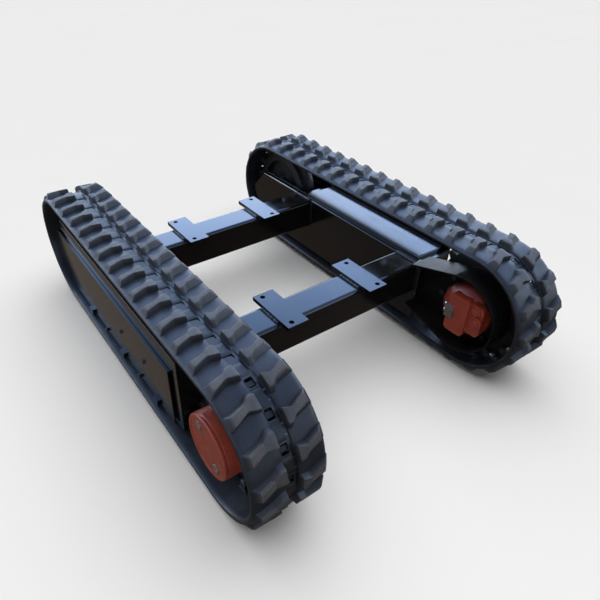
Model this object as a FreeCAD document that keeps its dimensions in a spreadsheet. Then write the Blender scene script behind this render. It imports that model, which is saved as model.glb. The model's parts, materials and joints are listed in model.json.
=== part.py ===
"""Rubber-track undercarriage: two crawler tracks on welded frames, joined by two cross beams.

Frame: +Z up, +Y forward (towards the idlers), +X to the right. The origin is at the centre of the
footprint, on the ground. Every across-track position is an offset from that track's centre plane,
positive outboard, so one set of functions builds the left and the right track.
"""
import FreeCAD, Part
import math
import os

import Sketcher
from FreeCAD import Placement, Rotation, Vector

DOC = FreeCAD.newDocument("rubber_track_undercarriage")
SIDES = {"left": -1, "right": 1}
NODES = {}

DIMENSIONS = {
    # belt
    "gauge": 812.0,             # distance between the centre planes of the two tracks
    "belt_width": 180.0,
    "link_pitch": 72.0,
    "link_count": 41.0,
    "tooth_count": 15.0,
    "cord_depth": 10.0,         # belt's inner surface to its steel cords, which set the pitch
    "belt_thickness": 15.0,
    "lug_height": 15.1,
    "channel_width": 32.0,      # groove on the inside in which the sprocket's teeth run
    "channel_depth": 8.0,
    "wing_thickness": 6.0,      # of the metal cores
    "bridge_thickness": 3.5,
    "window_length": 30.0,
    "window_width": 24.0,
    "horn_height": 22.0,
    "horn_inner": 16.0,         # guide horns, measured from the track's centre plane
    "horn_outer": 28.0,
    "lug_lag": 11.0,            # the right half's lugs behind the windows' centres
    "travel_left": 0.0,         # how far each belt stands along its loop from a core at the
    "travel_right": -25.0,      # top of the sprocket
    # cross beams and mounting plates
    "beam_depth": 95.0,
    "beam_height": 100.0,
    "beam_wall": 6.0,
    "beam_top": 244.0,
    "beam_rear_y": -233.0,
    "beam_front_y": 277.0,
    "pad_width": 64.0,
    "pad_length": 162.0,
    "pad_thickness": 12.0,
    "pad_centre": 138.0,
    "pad_hole_centre": 149.0,
    "pad_hole_spacing": 130.0,
    "pad_hole_radius": 7.0,
    # track frame
    "wall_thickness": 8.0,
    "wall_inner": 62.0,         # inboard wall, inner face
    "wall_outer": 54.0,         # outboard wall, inner face
    "wall_bottom": 44.0,
    "frame_top": 246.0,
    "outer_wall_top": 276.0,
    "wall_edge_radius": 6.0,
    "frame_rear_y": -288.0,
    "nose_radius": 150.0,       # round front end of the walls, about the idler
    "deck_thickness": 8.0,
    "deck_front_y": 292.0,
    "floor_low": 118.0,
    "lid_inner_edge": 58.0,
    "lid_outer_edge": 52.0,
    "lid_height": 12.0,
    "lid_rear_y": -268.0,
    "lid_front_y": 262.0,
    "cover_outer": 70.0,
    "cover_thickness": 5.0,
    "cover_top": 226.0,
    "cover_rear_y": -252.0,
    # drive
    "sprocket_thickness": 22.0,
    "sprocket_root": 150.0,
    "sprocket_tip": 169.3,
    "drum_radius": 78.0,
    "flange_radius": 108.0,
    "spindle_radius": 57.0,
    "motor_radius": 66.0,
    "casing_radius": 78.0,
    "plate_low": -54.0,         # motor plate, across the track
    "plate_thickness": 10.0,
    "guard_radius": 118.0,
    "guard_thickness": 6.0,
    "guard_low": -110.0,
    "guard_high": -34.0,
    "guard_top": 262.0,         # height of the guard where it meets the frame
    "guard_bottom": 120.0,
    # idler and tensioner
    "idler_radius": 161.2,
    "shoulder_radius": 136.0,
    "axle_radius": 15.0,
    "yoke_inner": 33.0,
    "yoke_outer": 43.0,
    "rod_radius": 13.0,
    "spring_radius": 30.0,
    "spring_wire": 5.0,
    "spring_turns": 6.0,
    "crosshead_rear_y": 268.0,
    "cylinder_front_y": 118.0,
    # bottom rollers
    "roller_radius": 42.0,
    "roller_axle_radius": 10.0,
    "roller_rear_y": -166.0,
    "roller_spacing": 238.0,
    "roller_gap": 0.4,          # between a roller and the belt
    "running_fit": 0.06,        # radial clearance of a shaft in its bore
}


class Size:
    """A number together with the spreadsheet formula that gives it."""

    def __init__(self, value, formula):
        self.value = float(value)
        self.formula = formula

    @staticmethod
    def of(number):
        return number if isinstance(number, Size) else Size(number, f"({float(number)!r})")

    def __add__(self, other):
        other = Size.of(other)
        return Size(self.value + other.value, f"({self.formula} + {other.formula})")

    def __sub__(self, other):
        other = Size.of(other)
        return Size(self.value - other.value, f"({self.formula} - {other.formula})")

    def __mul__(self, other):
        other = Size.of(other)
        return Size(self.value * other.value, f"({self.formula} * {other.formula})")

    def __truediv__(self, other):
        other = Size.of(other)
        return Size(self.value / other.value, f"({self.formula} / {other.formula})")

    def __neg__(self):
        return self * -1

    def __radd__(self, other):
        return Size.of(other) + self

    def __rsub__(self, other):
        return Size.of(other) - self

    __rmul__ = __mul__


def make_sheet():
    """The spreadsheet of driving dimensions: name, value, and the name again as the cell's alias."""
    sheet = DOC.addObject("Spreadsheet::Sheet", "Dims")
    for row, (name, value) in enumerate(DIMENSIONS.items(), start=1):
        sheet.set(f"A{row}", name)
        sheet.set(f"B{row}", repr(value))
        sheet.setAlias(f"B{row}", name)
    DOC.recompute()
    return sheet


SHEET = make_sheet()


def dim(name):
    return Size(SHEET.get(name), f"Dims.{name}")


CORD_RADIUS = dim("link_pitch") * dim("tooth_count") / (2 * math.pi)
BELT_INNER = CORD_RADIUS - dim("cord_depth")
BELT_OUTER = BELT_INNER + dim("belt_thickness")
AXLE_Z = BELT_OUTER + dim("lug_height")
WHEEL_Y = (dim("link_count") - dim("tooth_count")) * dim("link_pitch") / 4
SPROCKET_Y = -WHEEL_Y
IDLER_Y = WHEEL_Y
ROLLER_Z = AXLE_Z - BELT_INNER + dim("roller_gap") + dim("roller_radius")


# ---------------------------------------------------------------- building blocks

def bind(target, name, size):
    size = Size.of(size)
    target.setExpression(name, size.formula)


def put(target, x, y, z, rotation=Rotation()):
    """Place an object at (x, y, z), each coordinate bound to the sheet."""
    corner = [Size.of(value) for value in (x, y, z)]
    target.Placement = Placement(Vector(*[size.value for size in corner]), rotation)
    for axis, size in zip("xyz", corner):
        bind(target, f"Placement.Base.{axis}", size)
    return target


def across(side, low, high):
    """The X range of something between two outboard offsets of a track."""
    near = (dim("gauge") / 2 + low) * side
    far = (dim("gauge") / 2 + high) * side
    return (near, far) if near.value < far.value else (far, near)


def outward(side):
    """The rotation that turns a body's own +X outboard."""
    return Rotation() if side > 0 else Rotation(Vector(0, 0, 1), 180)


def box(label, x, y, z):
    """A block between pairs of coordinates."""
    block = DOC.addObject("Part::Box", label)
    for name, (low, high) in zip(("Length", "Width", "Height"), (x, y, z)):
        bind(block, name, Size.of(high) - low)
    return put(block, x[0], y[0], z[0])


def cylinder(label, axis, span, centre, radius):
    """A cylinder along X or Y between the two ends of span; centre holds its other coordinates."""
    rod = DOC.addObject("Part::Cylinder", label)
    bind(rod, "Radius", radius)
    bind(rod, "Height", Size.of(span[1]) - span[0])
    if axis == "x":
        return put(rod, span[0], centre[0], centre[1], Rotation(Vector(0, 1, 0), 90))
    return put(rod, centre[0], span[0], centre[1], Rotation(Vector(1, 0, 0), -90))


def fuse(label, shapes):
    joined = DOC.addObject("Part::MultiFuse", label)
    joined.Shapes = shapes
    return joined


def cut(label, base, *tools):
    result = DOC.addObject("Part::Cut", label)
    result.Base = base
    result.Tool = tools[0] if len(tools) == 1 else fuse(label + "_tools", list(tools))
    return result


def common(label, base, tool):
    result = DOC.addObject("Part::Common", label)
    result.Base = base
    result.Tool = tool
    return result


def round_edges(label, base, radius, wanted):
    """Fillet the straight edges of base that the test accepts."""
    DOC.recompute()
    rounded = DOC.addObject("Part::Fillet", label)
    rounded.Base = base
    rounded.Edges = [
        (number, radius, radius)
        for number, edge in enumerate(base.Shape.Edges, start=1)
        if wanted(edge)
    ]
    return rounded


def runs_along(direction):
    """A test for straight edges along a direction."""
    def test(edge):
        return abs(edge.tangentAt(edge.FirstParameter).dot(direction)) > 0.99
    return test


def new_body(label, x, y, z, rotation=Rotation()):
    return put(DOC.addObject("PartDesign::Body", label), x, y, z, rotation)


def new_sketch(body, role, name):
    sketch = body.newObject("Sketcher::SketchObject", name)
    plane = next(item for item in body.Origin.OriginFeatures if item.Role == role)
    sketch.AttachmentSupport = (plane, "")
    sketch.MapMode = "FlatFace"
    return sketch


def draw_polygon(sketch, points):
    """A closed polygon whose corner coordinates are bound to the sheet."""
    points = [(Size.of(a), Size.of(b)) for a, b in points]
    first = sketch.GeometryCount
    total = len(points)
    for index, (start, end) in enumerate(zip(points, points[1:] + points[:1])):
        sketch.addGeometry(Part.LineSegment(
            Vector(start[0].value, start[1].value, 0), Vector(end[0].value, end[1].value, 0)))
        if index:
            sketch.addConstraint(Sketcher.Constraint("Coincident", first + index - 1, 2, first + index, 1))
    sketch.addConstraint(Sketcher.Constraint("Coincident", first + total - 1, 2, first, 1))
    for index, point in enumerate(points):
        for kind, size in zip(("DistanceX", "DistanceY"), point):
            number = sketch.addConstraint(
                Sketcher.Constraint(kind, -1, 1, first + index, 1, size.value))
            sketch.setExpression(f"Constraints[{number}]", size.formula)


def draw_circle(sketch, centre, radius):
    centre = [Size.of(value) for value in centre]
    radius = Size.of(radius)
    number = sketch.addGeometry(Part.Circle(
        Vector(centre[0].value, centre[1].value, 0), Vector(0, 0, 1), radius.value))
    for kind, size in zip(("DistanceX", "DistanceY"), centre):
        constraint = sketch.addConstraint(Sketcher.Constraint(kind, -1, 1, number, 3, size.value))
        sketch.setExpression(f"Constraints[{constraint}]", size.formula)
    constraint = sketch.addConstraint(Sketcher.Constraint("Radius", number, radius.value))
    sketch.setExpression(f"Constraints[{constraint}]", radius.formula)


def pad(body, sketch, length, name="Pad"):
    feature = body.newObject("PartDesign::Pad", name)
    feature.Profile = sketch
    bind(feature, "Length", length)
    return feature


def plate(label, x, points, holes=()):
    """A plate across the track: a polygon in Y and Z with round holes, between two X values."""
    body = new_body(label, x[0], 0, 0)
    sketch = new_sketch(body, "YZ_Plane", "Outline")
    draw_polygon(sketch, points)
    for centre, radius in holes:
        draw_circle(sketch, centre, radius)
    pad(body, sketch, Size.of(x[1]) - x[0])
    return body


def turned(label, side, y, z, points):
    """A turned piece about an axis along X: points are (outboard offset, radius)."""
    body = new_body(label, dim("gauge") / 2 * side, y, z, outward(side))
    sketch = new_sketch(body, "XY_Plane", "Section")
    draw_polygon(sketch, points)
    revolution = body.newObject("PartDesign::Revolution", "Revolution")
    revolution.Profile = sketch
    revolution.ReferenceAxis = (sketch, ["H_Axis"])
    revolution.Angle = 360
    return body


def ring_of(body, feature, count):
    """Repeat a feature round the body's own X axis."""
    pattern = body.newObject("PartDesign::PolarPattern", "PolarPattern")
    pattern.Originals = [feature]
    pattern.Axis = (feature.Profile[0], ["N_Axis"])
    pattern.Angle = 360
    bind(pattern, "Occurrences", count)
    body.Tip = pattern


def hexagon(centre, half_width):
    """Corners of a hexagon whose flats are half_width from its centre."""
    reach = half_width / math.cos(math.pi / 6)
    return [
        (centre[0] + reach * math.cos(math.radians(60 * corner)),
         centre[1] + reach * math.sin(math.radians(60 * corner)))
        for corner in range(6)
    ]


def hex_block(label, x, centre, half_width):
    """A hexagonal bolt head or cap along X."""
    return plate(label, x, hexagon(centre, half_width))


def shape_node(label, shape, placement=Placement()):
    """A sub-part whose shape no workbench feature makes simply."""
    feature = DOC.addObject("Part::Feature", label)
    feature.Shape = shape
    feature.Placement = placement
    return feature


def keep(name, part):
    """Register an object as the sub-part NAME."""
    part.Label = name
    NODES[name] = part


# ---------------------------------------------------------------- cross beams

def make_beam(name, y):
    half_length = dim("gauge") / 2 - dim("wall_inner") - dim("wall_thickness")
    span = (-half_length, half_length)
    depth = dim("beam_depth") / 2
    top, bottom = dim("beam_top"), dim("beam_top") - dim("beam_height")
    wall = dim("beam_wall")
    along = runs_along(Vector(1, 0, 0))
    outside = box(name + "_outside", span, (y - depth, y + depth), (bottom, top))
    inside = box(
        name + "_inside", (span[0] - 1, span[1] + 1),
        (y - depth + wall, y + depth - wall), (bottom + wall, top - wall))
    outer = round_edges(name + "_outer", outside, 10, along)
    inner = round_edges(name + "_inner", inside, 4, along)
    keep(name, cut(name + "_tube", outer, inner))


def make_pads(name, y):
    """The two drilled mounting plates on one beam."""
    pair = []
    half_length = dim("pad_length") / 2
    for side in SIDES.values():
        body = new_body(f"{name}_{side}", dim("pad_centre") * side, y, dim("beam_top"))
        sketch = new_sketch(body, "XY_Plane", "Outline")
        half_width = dim("pad_width") / 2
        draw_polygon(sketch, [
            (-half_width, -half_length), (half_width, -half_length),
            (half_width, half_length), (-half_width, half_length)])
        for end in (-1, 1):
            offset = (dim("pad_hole_centre") - dim("pad_centre")) * side
            draw_circle(sketch, (offset, dim("pad_hole_spacing") / 2 * end), dim("pad_hole_radius"))
        pad(body, sketch, dim("pad_thickness"))
        pair.append(body)
    keep(name, fuse(name + "_pair", pair))


# ---------------------------------------------------------------- rubber track

def loop_place(distance):
    """Where the belt's inner surface is, a distance along the loop from the top of the sprocket.

    The placement turns +Y into the direction of travel and +Z into the outward normal.
    """
    run, arc = 2 * WHEEL_Y.value, math.pi * CORD_RADIUS.value
    distance %= 2 * (run + arc)
    back = distance >= run + arc
    distance -= (run + arc) * back
    if distance < run:
        turn, y = 0.0, distance - run / 2
    else:
        turn, y = math.degrees((distance - run) / CORD_RADIUS.value), run / 2
    spin = Rotation(Vector(1, 0, 0), -turn - 180 * back)
    centre = Vector(0, -y if back else y, AXLE_Z.value)
    return Placement(centre + spin.multVec(Vector(0, 0, BELT_INNER.value)), spin)


def loop_solid(radius, half_width):
    """The solid inside a belt-shaped loop of a given radius about both wheels."""
    y, z = WHEEL_Y.value, AXLE_Z.value
    x = -half_width
    low_rear, low_front = Vector(x, -y, z - radius), Vector(x, y, z - radius)
    top_rear, top_front = Vector(x, -y, z + radius), Vector(x, y, z + radius)
    outline = Part.Wire([
        Part.LineSegment(top_rear, top_front).toShape(),
        Part.Arc(top_front, Vector(x, y + radius, z), low_front).toShape(),
        Part.LineSegment(low_front, low_rear).toShape(),
        Part.Arc(low_rear, Vector(x, -y - radius, z), top_rear).toShape(),
    ])
    return Part.Face(outline).extrude(Vector(2 * half_width, 0, 0))


def block(x, y, z):
    """A loose block between pairs of plain numbers."""
    return Part.makeBox(x[1] - x[0], y[1] - y[0], z[1] - z[0], Vector(x[0], y[0], z[0]))


def taper(low, high, low_z, high_z):
    """A solid between two outlines of equal corner count at two heights."""
    wires = [
        Part.makePolygon([Vector(x, y, z) for x, y in outline + outline[:1]])
        for outline, z in ((low, low_z), (high, high_z))
    ]
    return Part.makeLoft(wires, True, True)


def make_lug(row):
    """One tread lug on the right half (row 1) or, turned half a turn in plan, the left half (-1).

    The inner part is a block beside the belt's centre strip. The outer part is a narrower bar
    swept forward, whose rear face is the gentler one and whose end slopes down to the belt's edge.
    It is a little too high, and is cut to height with the rest of the tread.
    """
    foot = [(13, -29), (29, -29), (42, -17), (88, -6), (88, 27), (41, 9), (13, 15)]
    top = [(15, -19), (30, -19), (43, -8), (75, 0), (75, 19), (41, 5), (15, 12)]
    foot, top = [[(row * x, row * y) for x, y in outline] for outline in (foot, top)]
    thickness, root, spare = dim("belt_thickness").value, 3, 2
    return taper(foot, top, thickness - root, thickness + dim("lug_height").value + spare)


def make_core():
    """One metal core: two wings, a bridge outside the teeth's channel, and two guide horns."""
    half, wing_end, post_width = 13, 60, 4
    bridge_low = dim("channel_depth").value
    bridge_high = bridge_low + dim("bridge_thickness").value
    inner, outer = dim("horn_inner").value, dim("horn_outer").value
    horn_foot, horn_tip, horn_taper = 12, 7, 3
    reach = inner + post_width
    pieces = [block((-reach, reach), (-half, half), (bridge_low, bridge_high))]
    for row in (-1, 1):
        wing = sorted((row * inner, row * wing_end))
        post = sorted((row * inner, row * reach))
        pieces.append(block(wing, (-half, half), (0, dim("wing_thickness").value)))
        pieces.append(block(post, (-half, half), (0, bridge_high)))
        near, far = row * inner, row * outer
        foot = [(near, -horn_foot), (far, -horn_foot), (far, horn_foot), (near, horn_foot)]
        far_tip = far - row * horn_taper
        tip = [(near, -horn_tip), (far_tip, -horn_tip), (far_tip, horn_tip), (near, horn_tip)]
        pieces.append(taper(tip, foot, -dim("horn_height").value, 1.0))
    return pieces[0].multiFuse(pieces[1:]).removeSplitter()


def along_loop(shape, offset):
    """Copies of a shape, one in each link, an offset along the loop from the top of the sprocket."""
    copies = []
    for link in range(int(dim("link_count").value)):
        copy = shape.copy()
        copy.Placement = loop_place(link * dim("link_pitch").value + offset)
        copies.append(copy)
    return copies


def make_belt(travel, cores):
    """The rubber belt, moulded round its cores, with its channel, windows and tread."""
    half = dim("belt_width").value / 2
    channel = dim("channel_width").value / 2
    inner, outer = BELT_INNER.value, BELT_OUTER.value
    width, length = dim("window_width").value / 2, dim("window_length").value / 2
    middle = travel + dim("link_pitch").value / 2
    belt = loop_solid(outer, half).cut(loop_solid(inner, half + 1))
    belt = belt.cut(loop_solid(inner + dim("channel_depth").value, channel))
    window = block((-width, width), (-length, length), (-1, 40))
    bared = block((-channel, channel), (-13, 13), (-1, dim("channel_depth").value + 1))
    belt = belt.cut(cores + along_loop(bared, travel) + along_loop(window, middle))
    right_row = middle - dim("lug_lag").value
    left_row = right_row + dim("link_pitch").value / 2
    lugs = along_loop(make_lug(-1), left_row) + along_loop(make_lug(1), right_row)
    belt = belt.multiFuse(lugs)
    return belt.common(loop_solid(AXLE_Z.value, half + 1))


def make_tracks():
    for tag, side in SIDES.items():
        travel = dim(f"travel_{tag}").value
        cores = along_loop(make_core(), travel)
        place = Placement(Vector(side * dim("gauge").value / 2, 0, 0), Rotation())
        belt = make_belt(travel, cores)
        keep(f"rubber_track_{tag}", shape_node(f"Belt_{tag}", belt, place))
        cores = Part.makeCompound(cores)
        keep(f"track_cores_{tag}", shape_node(f"Cores_{tag}", cores, place))


# ---------------------------------------------------------------- drive

def make_sprocket(tag, side):
    half = dim("sprocket_thickness") / 2
    root, tip = dim("sprocket_root"), dim("sprocket_tip")
    body = new_body(f"Sprocket{tag}", dim("gauge") / 2 * side - half, SPROCKET_Y, AXLE_Z)
    disc = new_sketch(body, "YZ_Plane", "Disc")
    draw_circle(disc, (0, 0), root)
    draw_circle(disc, (0, 0), dim("drum_radius") + 0.3)
    pad(body, disc, dim("sprocket_thickness"), "DiscPad")
    lean = math.pi / dim("tooth_count").value + (dim(f"travel_{tag}") / CORD_RADIUS).value
    tooth = new_sketch(body, "YZ_Plane", "Tooth")
    corners = []
    for radius, half_tooth in ((root - 3, -14), (tip, -6), (tip, 6), (root - 3, 14)):
        along = Size.of(radius) * math.cos(lean) - half_tooth * math.sin(lean)
        rise = Size.of(radius) * math.sin(lean) + half_tooth * math.cos(lean)
        corners.append((rise, along))
    draw_polygon(tooth, corners)
    feature = pad(body, tooth, dim("sprocket_thickness"), "ToothPad")
    ring_of(body, feature, dim("tooth_count"))
    keep(f"sprocket_{tag}", body)


def bolt_ring(label, x, count, ring_radius, half_width):
    """Hexagon heads round the sprocket's axis, between two X values."""
    body = new_body(label, x[0], SPROCKET_Y, AXLE_Z)
    sketch = new_sketch(body, "YZ_Plane", "Head")
    draw_polygon(sketch, hexagon((Size.of(ring_radius), Size.of(0)), half_width))
    feature = pad(body, sketch, Size.of(x[1]) - x[0])
    ring_of(body, feature, count)
    return body


def make_drum(tag, side):
    """The turning red drum of the final drive, its end cover, plugs and the sprocket's bolts."""
    radius, flange = dim("drum_radius"), dim("flange_radius")
    cavity = dim("spindle_radius") + 3
    half = dim("sprocket_thickness") / 2
    end, wall = 82, 14
    keep(f"drive_hub_{tag}", turned(f"Drum{tag}", side, SPROCKET_Y, AXLE_Z, [
        (-half - 11, cavity), (-half - 11, flange), (-half, flange), (-half, radius),
        (end - 1.5, radius), (end, radius - 1.5), (end, 0), (end - wall, 0), (end - wall, cavity)]))
    disc = turned(f"CoverDisc{tag}", side, SPROCKET_Y, AXLE_Z, [
        (end, 0), (end, radius - 0.5), (end + 6, radius - 0.5), (end + 8, radius - 2.5),
        (end + 8, radius - 8), (end + 6, radius - 11), (end + 6, 0)])
    plug_ring, plug_angle = 50, math.radians(128)
    recesses, plugs = [], []
    for turn in (0, math.pi):
        rise = plug_ring * math.sin(plug_angle + turn)
        centre = (SPROCKET_Y - plug_ring * math.cos(plug_angle + turn), AXLE_Z + rise)
        seat = across(side, end + 3.5, end + 7)
        recesses.append(cylinder(f"PlugSeat{tag}{turn:.0f}", "x", seat, centre, 13))
        body = cylinder(f"PlugBody{tag}{turn:.0f}", "x", across(side, end + 3.5, end + 7), centre, 11)
        socket = hex_block(f"PlugSocket{tag}{turn:.0f}", across(side, end + 5, end + 9), centre, 4.5)
        plugs.append(cut(f"Plug{tag}{turn:.0f}", body, socket))
    keep(f"drive_cover_{tag}", cut(f"Cover{tag}", disc, *recesses))
    keep(f"drive_plugs_{tag}", fuse(f"Plugs{tag}", plugs))
    heads = bolt_ring(f"SprocketBolts{tag}", across(side, half, half + 7), 10, 94, 8.5)
    keep(f"sprocket_bolts_{tag}", heads)


def tangent_points(radius, top_end, bottom_end):
    """Where lines from two points behind the frame's end touch a circle about the sprocket."""
    touches = []
    for (y, z), sense in ((top_end, 1), (bottom_end, -1)):
        dy, dz = y - SPROCKET_Y.value, z - AXLE_Z.value
        heading = math.atan2(dz, dy)
        swing = math.acos(radius / math.hypot(dy, dz))
        angle = heading + sense * swing
        touches.append((SPROCKET_Y.value + radius * math.cos(angle),
                        AXLE_Z.value + radius * math.sin(angle)))
    return touches


def teardrop(label, x, radius, inset, end_y):
    """A disc about the sprocket's axis drawn out to the end of the track frame."""
    top_end = (end_y, dim("guard_top").value - inset)
    bottom_end = (end_y, dim("guard_bottom").value + inset)
    top_touch, bottom_touch = tangent_points(Size.of(radius).value, top_end, bottom_end)
    disc = cylinder(label + "Disc", "x", x, (SPROCKET_Y, AXLE_Z), radius)
    throat = plate(label + "Throat", x, [bottom_touch, bottom_end, top_end, top_touch])
    return fuse(label, [disc, throat])


def make_motor(tag, side):
    """The fixed half of the drive: motor, plate, guard, fittings and bolts."""
    low, high = dim("plate_low"), dim("plate_low") + dim("plate_thickness")
    rear_y = DIMENSIONS["frame_rear_y"]
    thickness = dim("guard_thickness")
    inner_radius = dim("guard_radius") - thickness
    blank = teardrop(f"PlateBlank{tag}", across(side, low, high), inner_radius, 6, rear_y)
    bore = cylinder(
        f"PlateBore{tag}", "x", across(side, low - 1, high + 1), (SPROCKET_Y, AXLE_Z),
        dim("motor_radius") - 2)
    keep(f"motor_plate_{tag}", cut(f"MotorPlate{tag}", blank, bore))

    band = across(side, dim("guard_low"), dim("guard_high"))
    wide_band = across(side, dim("guard_low") - 1, dim("guard_high") + 1)
    outside = teardrop(f"GuardOutside{tag}", band, dim("guard_radius"), 0, rear_y)
    inside = teardrop(f"GuardInside{tag}", wide_band, inner_radius, 6, rear_y + 0.5)
    keep(f"motor_guard_{tag}", cut(f"MotorGuard{tag}", outside, inside))

    motor, casing_radius, spindle = dim("motor_radius"), dim("casing_radius"), dim("spindle_radius")
    casing = turned(f"Casing{tag}", side, SPROCKET_Y, AXLE_Z, [
        (-92, 0), (-92, 52), (-86, 62), (-74, casing_radius - 4), (-66, casing_radius), (low, casing_radius),
        (low, motor - 2.3), (high, motor - 2.3), (high, 84), (high + 12, 84), (high + 12, spindle),
        (60, spindle), (60, 0)])
    along_x = runs_along(Vector(1, 0, 0))
    port_block = round_edges(
        f"PortBlock{tag}",
        box(f"PortBlank{tag}", across(side, -111, -80), (SPROCKET_Y - 32, SPROCKET_Y + 31),
            (AXLE_Z - 62, AXLE_Z + 58)),
        12, along_x)
    valve_block = round_edges(
        f"ValveBlock{tag}",
        box(f"ValveBlank{tag}", across(side, -102, -80), (SPROCKET_Y - 74, SPROCKET_Y - 24),
            (AXLE_Z - 42, AXLE_Z + 54)),
        14, along_x)
    pieces = [casing, port_block, valve_block]
    for name, offset, height, radius in (("Lower", -60, 7, 18), ("Upper", -55, 40, 12)):
        centre = (SPROCKET_Y + offset, AXLE_Z + height)
        pieces.append(cylinder(f"Boss{name}{tag}", "x", across(side, -109, -101), centre, radius))
        pieces.append(hex_block(f"Cap{name}{tag}", across(side, -114, -108), centre, radius / 2))
    keep(f"motor_body_{tag}", fuse(f"MotorBody{tag}", pieces))

    port_y = SPROCKET_Y + 31
    wrap = box(
        f"PortWrap{tag}", across(side, -113.5, -93), (port_y - 20, port_y + 6), (AXLE_Z - 22, AXLE_Z + 20))
    fittings = [cut(f"PortPlate{tag}", wrap, port_block)]
    for height in (-11, 9):
        centre = ((dim("gauge") / 2 - 101) * side, AXLE_Z + height)
        fittings.append(cylinder(f"Port{tag}{height}", "y", (port_y + 5, port_y + 14), centre, 7))
    keep(f"motor_fittings_{tag}", fuse(f"Fittings{tag}", fittings))

    heads = bolt_ring(f"MotorBolts{tag}", across(side, low - 7, low), 8, 94, 8)
    keep(f"motor_bolts_{tag}", heads)


# ---------------------------------------------------------------- track frame

def nosed_wall(label, x, top, bottom, rear_y, front_top_y):
    """A wall of the track frame: flat ended at the rear, round at the front about the idler."""
    radius = dim("nose_radius")
    middle = AXLE_Z - 40
    outline = plate(label + "Outline", x, [
        (rear_y, bottom), (IDLER_Y + radius, bottom), (IDLER_Y + radius, middle),
        (front_top_y, top), (rear_y, top)])
    reach = (Size.of(x[0]) - 1, Size.of(x[1]) + 1)
    straight = box(label + "Straight", reach, (Size.of(rear_y) - 1, IDLER_Y), (0, top + 1))
    nose = cylinder(label + "Nose", "x", reach, (IDLER_Y, AXLE_Z), radius)
    return common(label, outline, fuse(label + "Limit", [straight, nose]))


def make_walls(tag, side):
    thickness = dim("wall_thickness")
    top, bottom, rear_y = dim("frame_top"), dim("wall_bottom"), dim("frame_rear_y")
    inner = across(side, -dim("wall_inner") - thickness, -dim("wall_inner"))
    outer = across(side, dim("wall_outer"), dim("wall_outer") + thickness)
    face = (dim("gauge") / 2 - dim("wall_inner") - thickness).value
    blank = nosed_wall(f"WallBlank{tag}", inner, top, bottom, rear_y, 530)

    def is_top_edge(edge):
        middle = edge.CenterOfMass
        return middle.z > top.value - 0.1 and abs(abs(middle.x) - face) < 0.1

    keep(f"frame_wall_inner_{tag}", round_edges(
        f"WallInner{tag}", blank, dim("wall_edge_radius").value, is_top_edge))
    keep(f"frame_wall_outer_{tag}", nosed_wall(
        f"WallOuter{tag}", outer, dim("outer_wall_top"), bottom, rear_y, 530))


def make_side_cover(tag, side):
    """The thin outer cover with its top edge folded in, its clips, studs and bolts."""
    face = dim("cover_outer")
    back = face - dim("cover_thickness")
    top, rear_y = dim("cover_top"), dim("cover_rear_y")
    sheet = nosed_wall(
        f"CoverSheet{tag}", across(side, back, face), top, dim("wall_bottom"), rear_y, 570)
    fold = box(
        f"CoverFold{tag}", across(side, dim("wall_outer") + dim("wall_thickness"), back),
        (rear_y, 500), (top - 4, top))
    keep(f"side_cover_{tag}", fuse(f"SideCover{tag}", [sheet, fold]))
    pieces = []
    for y in (-152, 72, 325):
        block_z = (dim("wall_bottom") - 8, dim("wall_bottom") + 10)
        pieces.append(box(f"Clip{tag}{y}", across(side, face, face + 8), (y - 13, y + 13), block_z))
    for y in (-45, 200):
        pieces.append(cylinder(
            f"Stud{tag}{y}", "x", across(side, face, face + 8), (y, dim("wall_bottom") + 4), 6))
    for y in (-90, 62):
        pieces.append(hex_block(f"CoverBolt{tag}{y}", across(side, face, face + 5), (y, 136), 6.5))
    keep(f"cover_fixings_{tag}", fuse(f"CoverFixings{tag}", pieces))


def make_deck(tag, side):
    """The deck plate, with the two fork rails that carry the idler's yoke in front of it."""
    top = dim("frame_top")
    plate_box = box(
        f"DeckPlate{tag}", across(side, -dim("wall_inner"), dim("wall_outer")),
        (dim("frame_rear_y"), dim("deck_front_y")), (top - dim("deck_thickness"), top))
    rail_y = (200, 530)
    rail_low = 156
    yoke_gap = 3
    face = dim("yoke_outer") + yoke_gap
    pieces = [plate_box]
    rail_under = top - dim("deck_thickness")
    for name, near, far in (("Inner", -face - 8, -face), ("Outer", face, dim("wall_outer"))):
        pieces.append(box(f"Rail{name}{tag}", across(side, near, far), rail_y, (rail_low, rail_under)))
        front_y = (dim("deck_front_y"), rail_y[1])
        pieces.append(box(f"RailTop{name}{tag}", across(side, near, far), front_y, (rail_under, top)))
    foot = across(side, -dim("wall_inner"), -face - 8)
    pieces.append(box(f"RailFoot{tag}", foot, rail_y, (rail_low, rail_low + 8)))
    keep(f"frame_deck_{tag}", fuse(f"Deck{tag}", pieces))


def make_lid(tag, side):
    """The raised cover on the deck: a shallow tray upside down."""
    inner, outer, sheet = dim("lid_inner_edge"), dim("lid_outer_edge"), 5
    y = (dim("lid_rear_y"), dim("lid_front_y"))
    low, high = dim("frame_top"), dim("frame_top") + dim("lid_height")
    blank = box(f"LidBlank{tag}", across(side, -inner, outer), y, (low, high))
    shell = round_edges(f"LidShell{tag}", blank, 4, lambda edge: edge.CenterOfMass.z > high.value - 0.1)
    hollow = box(
        f"LidHollow{tag}", across(side, -inner + sheet, outer - sheet),
        (y[0] + sheet, y[1] - sheet), (low - 1, high - sheet))
    keep(f"deck_lid_{tag}", cut(f"Lid{tag}", shell, hollow))


def make_floor(tag, side):
    """The floor of the frame box, turned up into the plate that closes its rear end."""
    low = dim("floor_low")
    width = across(side, -dim("wall_inner"), dim("wall_outer"))
    rear_y = dim("frame_rear_y")
    floor = box(f"FloorPlate{tag}", width, (rear_y, 296), (low, low + 8))
    end = box(
        f"EndPlate{tag}", width, (rear_y, rear_y + 8), (low, dim("frame_top") - dim("deck_thickness")))
    keep(f"frame_floor_{tag}", fuse(f"Floor{tag}", [floor, end]))


# ---------------------------------------------------------------- idler and tensioner

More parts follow.
